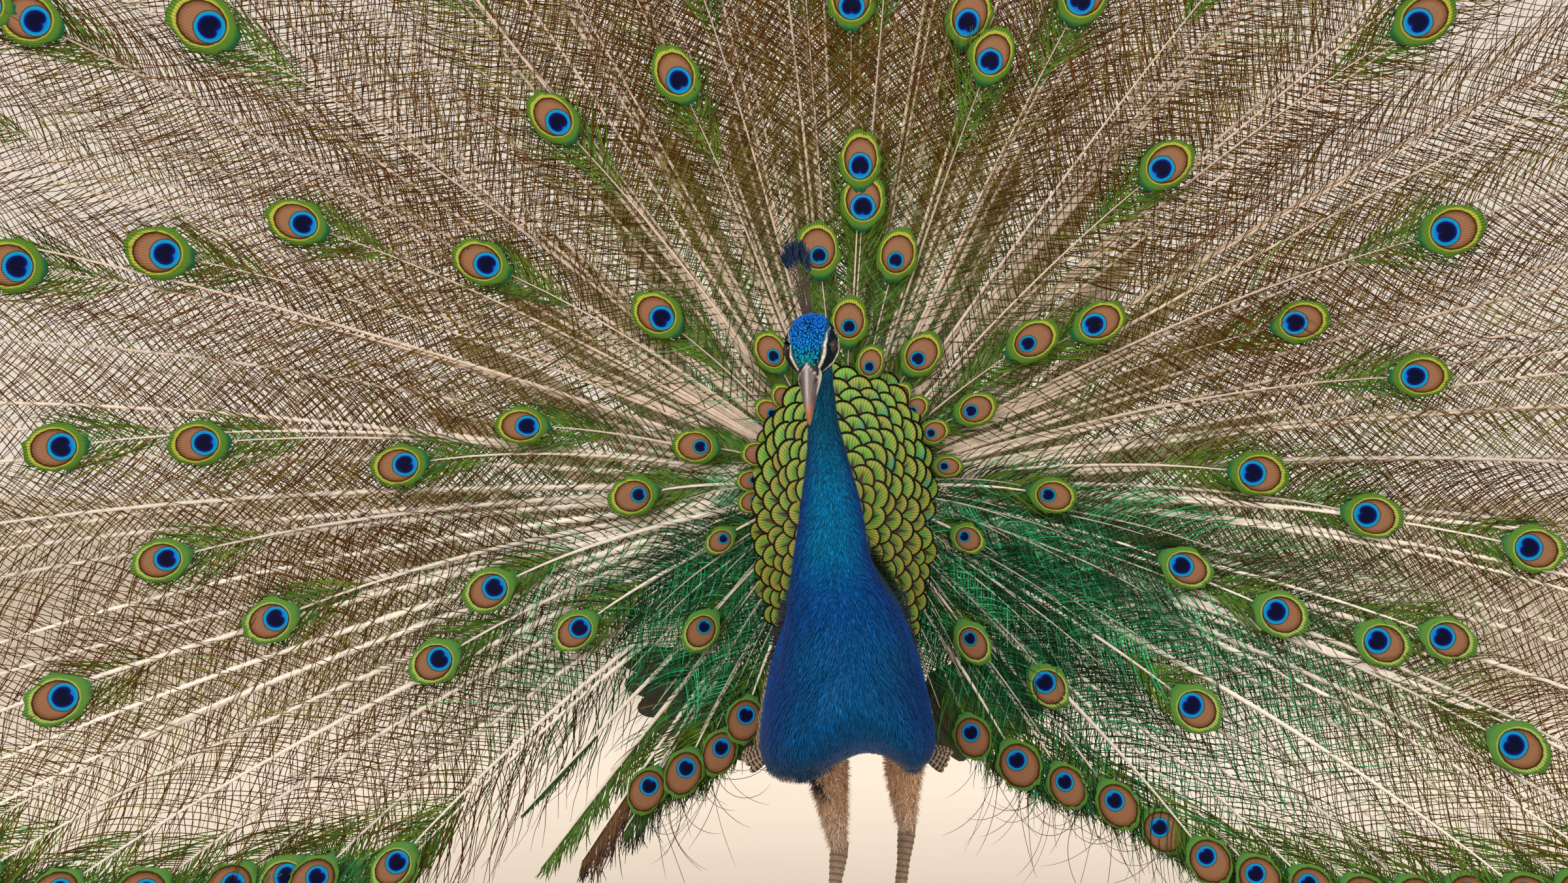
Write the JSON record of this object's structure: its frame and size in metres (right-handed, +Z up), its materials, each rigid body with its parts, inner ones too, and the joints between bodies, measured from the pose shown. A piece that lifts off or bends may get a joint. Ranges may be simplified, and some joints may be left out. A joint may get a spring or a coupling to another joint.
{
  "type": "displaying peacock",
  "caption": "Life-size still model of an Indian peacock standing with its eyed train fanned, blue neck raised and bill lowered.",
  "frame": {"origin": "on the floor, under the middle of the whole bird's bounding box", "axes": "+X to the bird's left across the fan, -Y the way the bird looks, +Z up"},
  "size_m": [2.3596, 0.4978, 1.654],
  "materials": {
    "blue_plumage": "silky iridescent blue plumage over the flesh of head, neck and body",
    "buff_thigh_feathers": "short matte buff feathers over the flesh of the thighs",
    "back_scales": "satin iridescent gold-green scale feathers with dark edges",
    "train_feathers": "loose bronze-green barbs on pale shafts, with iridescent eyes",
    "barred_wing_feathers": "matte buff feathers barred with dark brown",
    "rufous_flight_feathers": "matte rufous flight feathers",
    "tail_feathers": "matte grey-brown stiff feathers",
    "crest_feathers": "bare brown shafts with blue-black tips",
    "leg_scales": "horny grey-brown scutes",
    "bill_horn": "satin grey horn with a warm tip",
    "claws": "dark horn",
    "spurs": "grey-brown horn",
    "eyes": "wet dark brown eye"
  },
  "bodies": {
    "root": {"back_shield": "back_scales", "bill_lower": "bill_horn", "bill_upper": "bill_horn", "claw_hind_left": "claws", "claw_hind_right": "claws", "claw_inner_left": "claws", "claw_inner_right": "claws", "claw_middle_left": "claws", "claw_middle_right": "claws", "claw_outer_left": "claws", "claw_outer_right": "claws", "crest": "crest_feathers", "eye_left": "eyes", "eye_right": "eyes", "foot_left": "leg_scales", "foot_right": "leg_scales", "head": "blue_plumage", "neck_lower": "blue_plumage", "neck_upper": "blue_plumage", "primaries_left": "rufous_flight_feathers", "primaries_right": "rufous_flight_feathers", "shank_left": "leg_scales", "shank_right": "leg_scales", "spur_left": "spurs", "spur_right": "spurs", "tail": "tail_feathers", "thigh_left": "buff_thigh_feathers", "thigh_right": "buff_thigh_feathers", "train_left_1": "train_feathers", "train_left_2": "train_feathers", "train_left_3": "train_feathers", "train_left_4": "train_feathers", "train_left_5": "train_feathers", "train_left_6": "train_feathers", "train_left_7": "train_feathers", "train_left_8": "train_feathers", "train_right_1": "train_feathers", "train_right_2": "train_feathers", "train_right_3": "train_feathers", "train_right_4": "train_feathers", "train_right_5": "train_feathers", "train_right_6": "train_feathers", "train_right_7": "train_feathers", "train_right_8": "train_feathers", "trunk": "blue_plumage", "wing_left": "barred_wing_feathers", "wing_right": "barred_wing_feathers"}
  },
  "joints": []
}
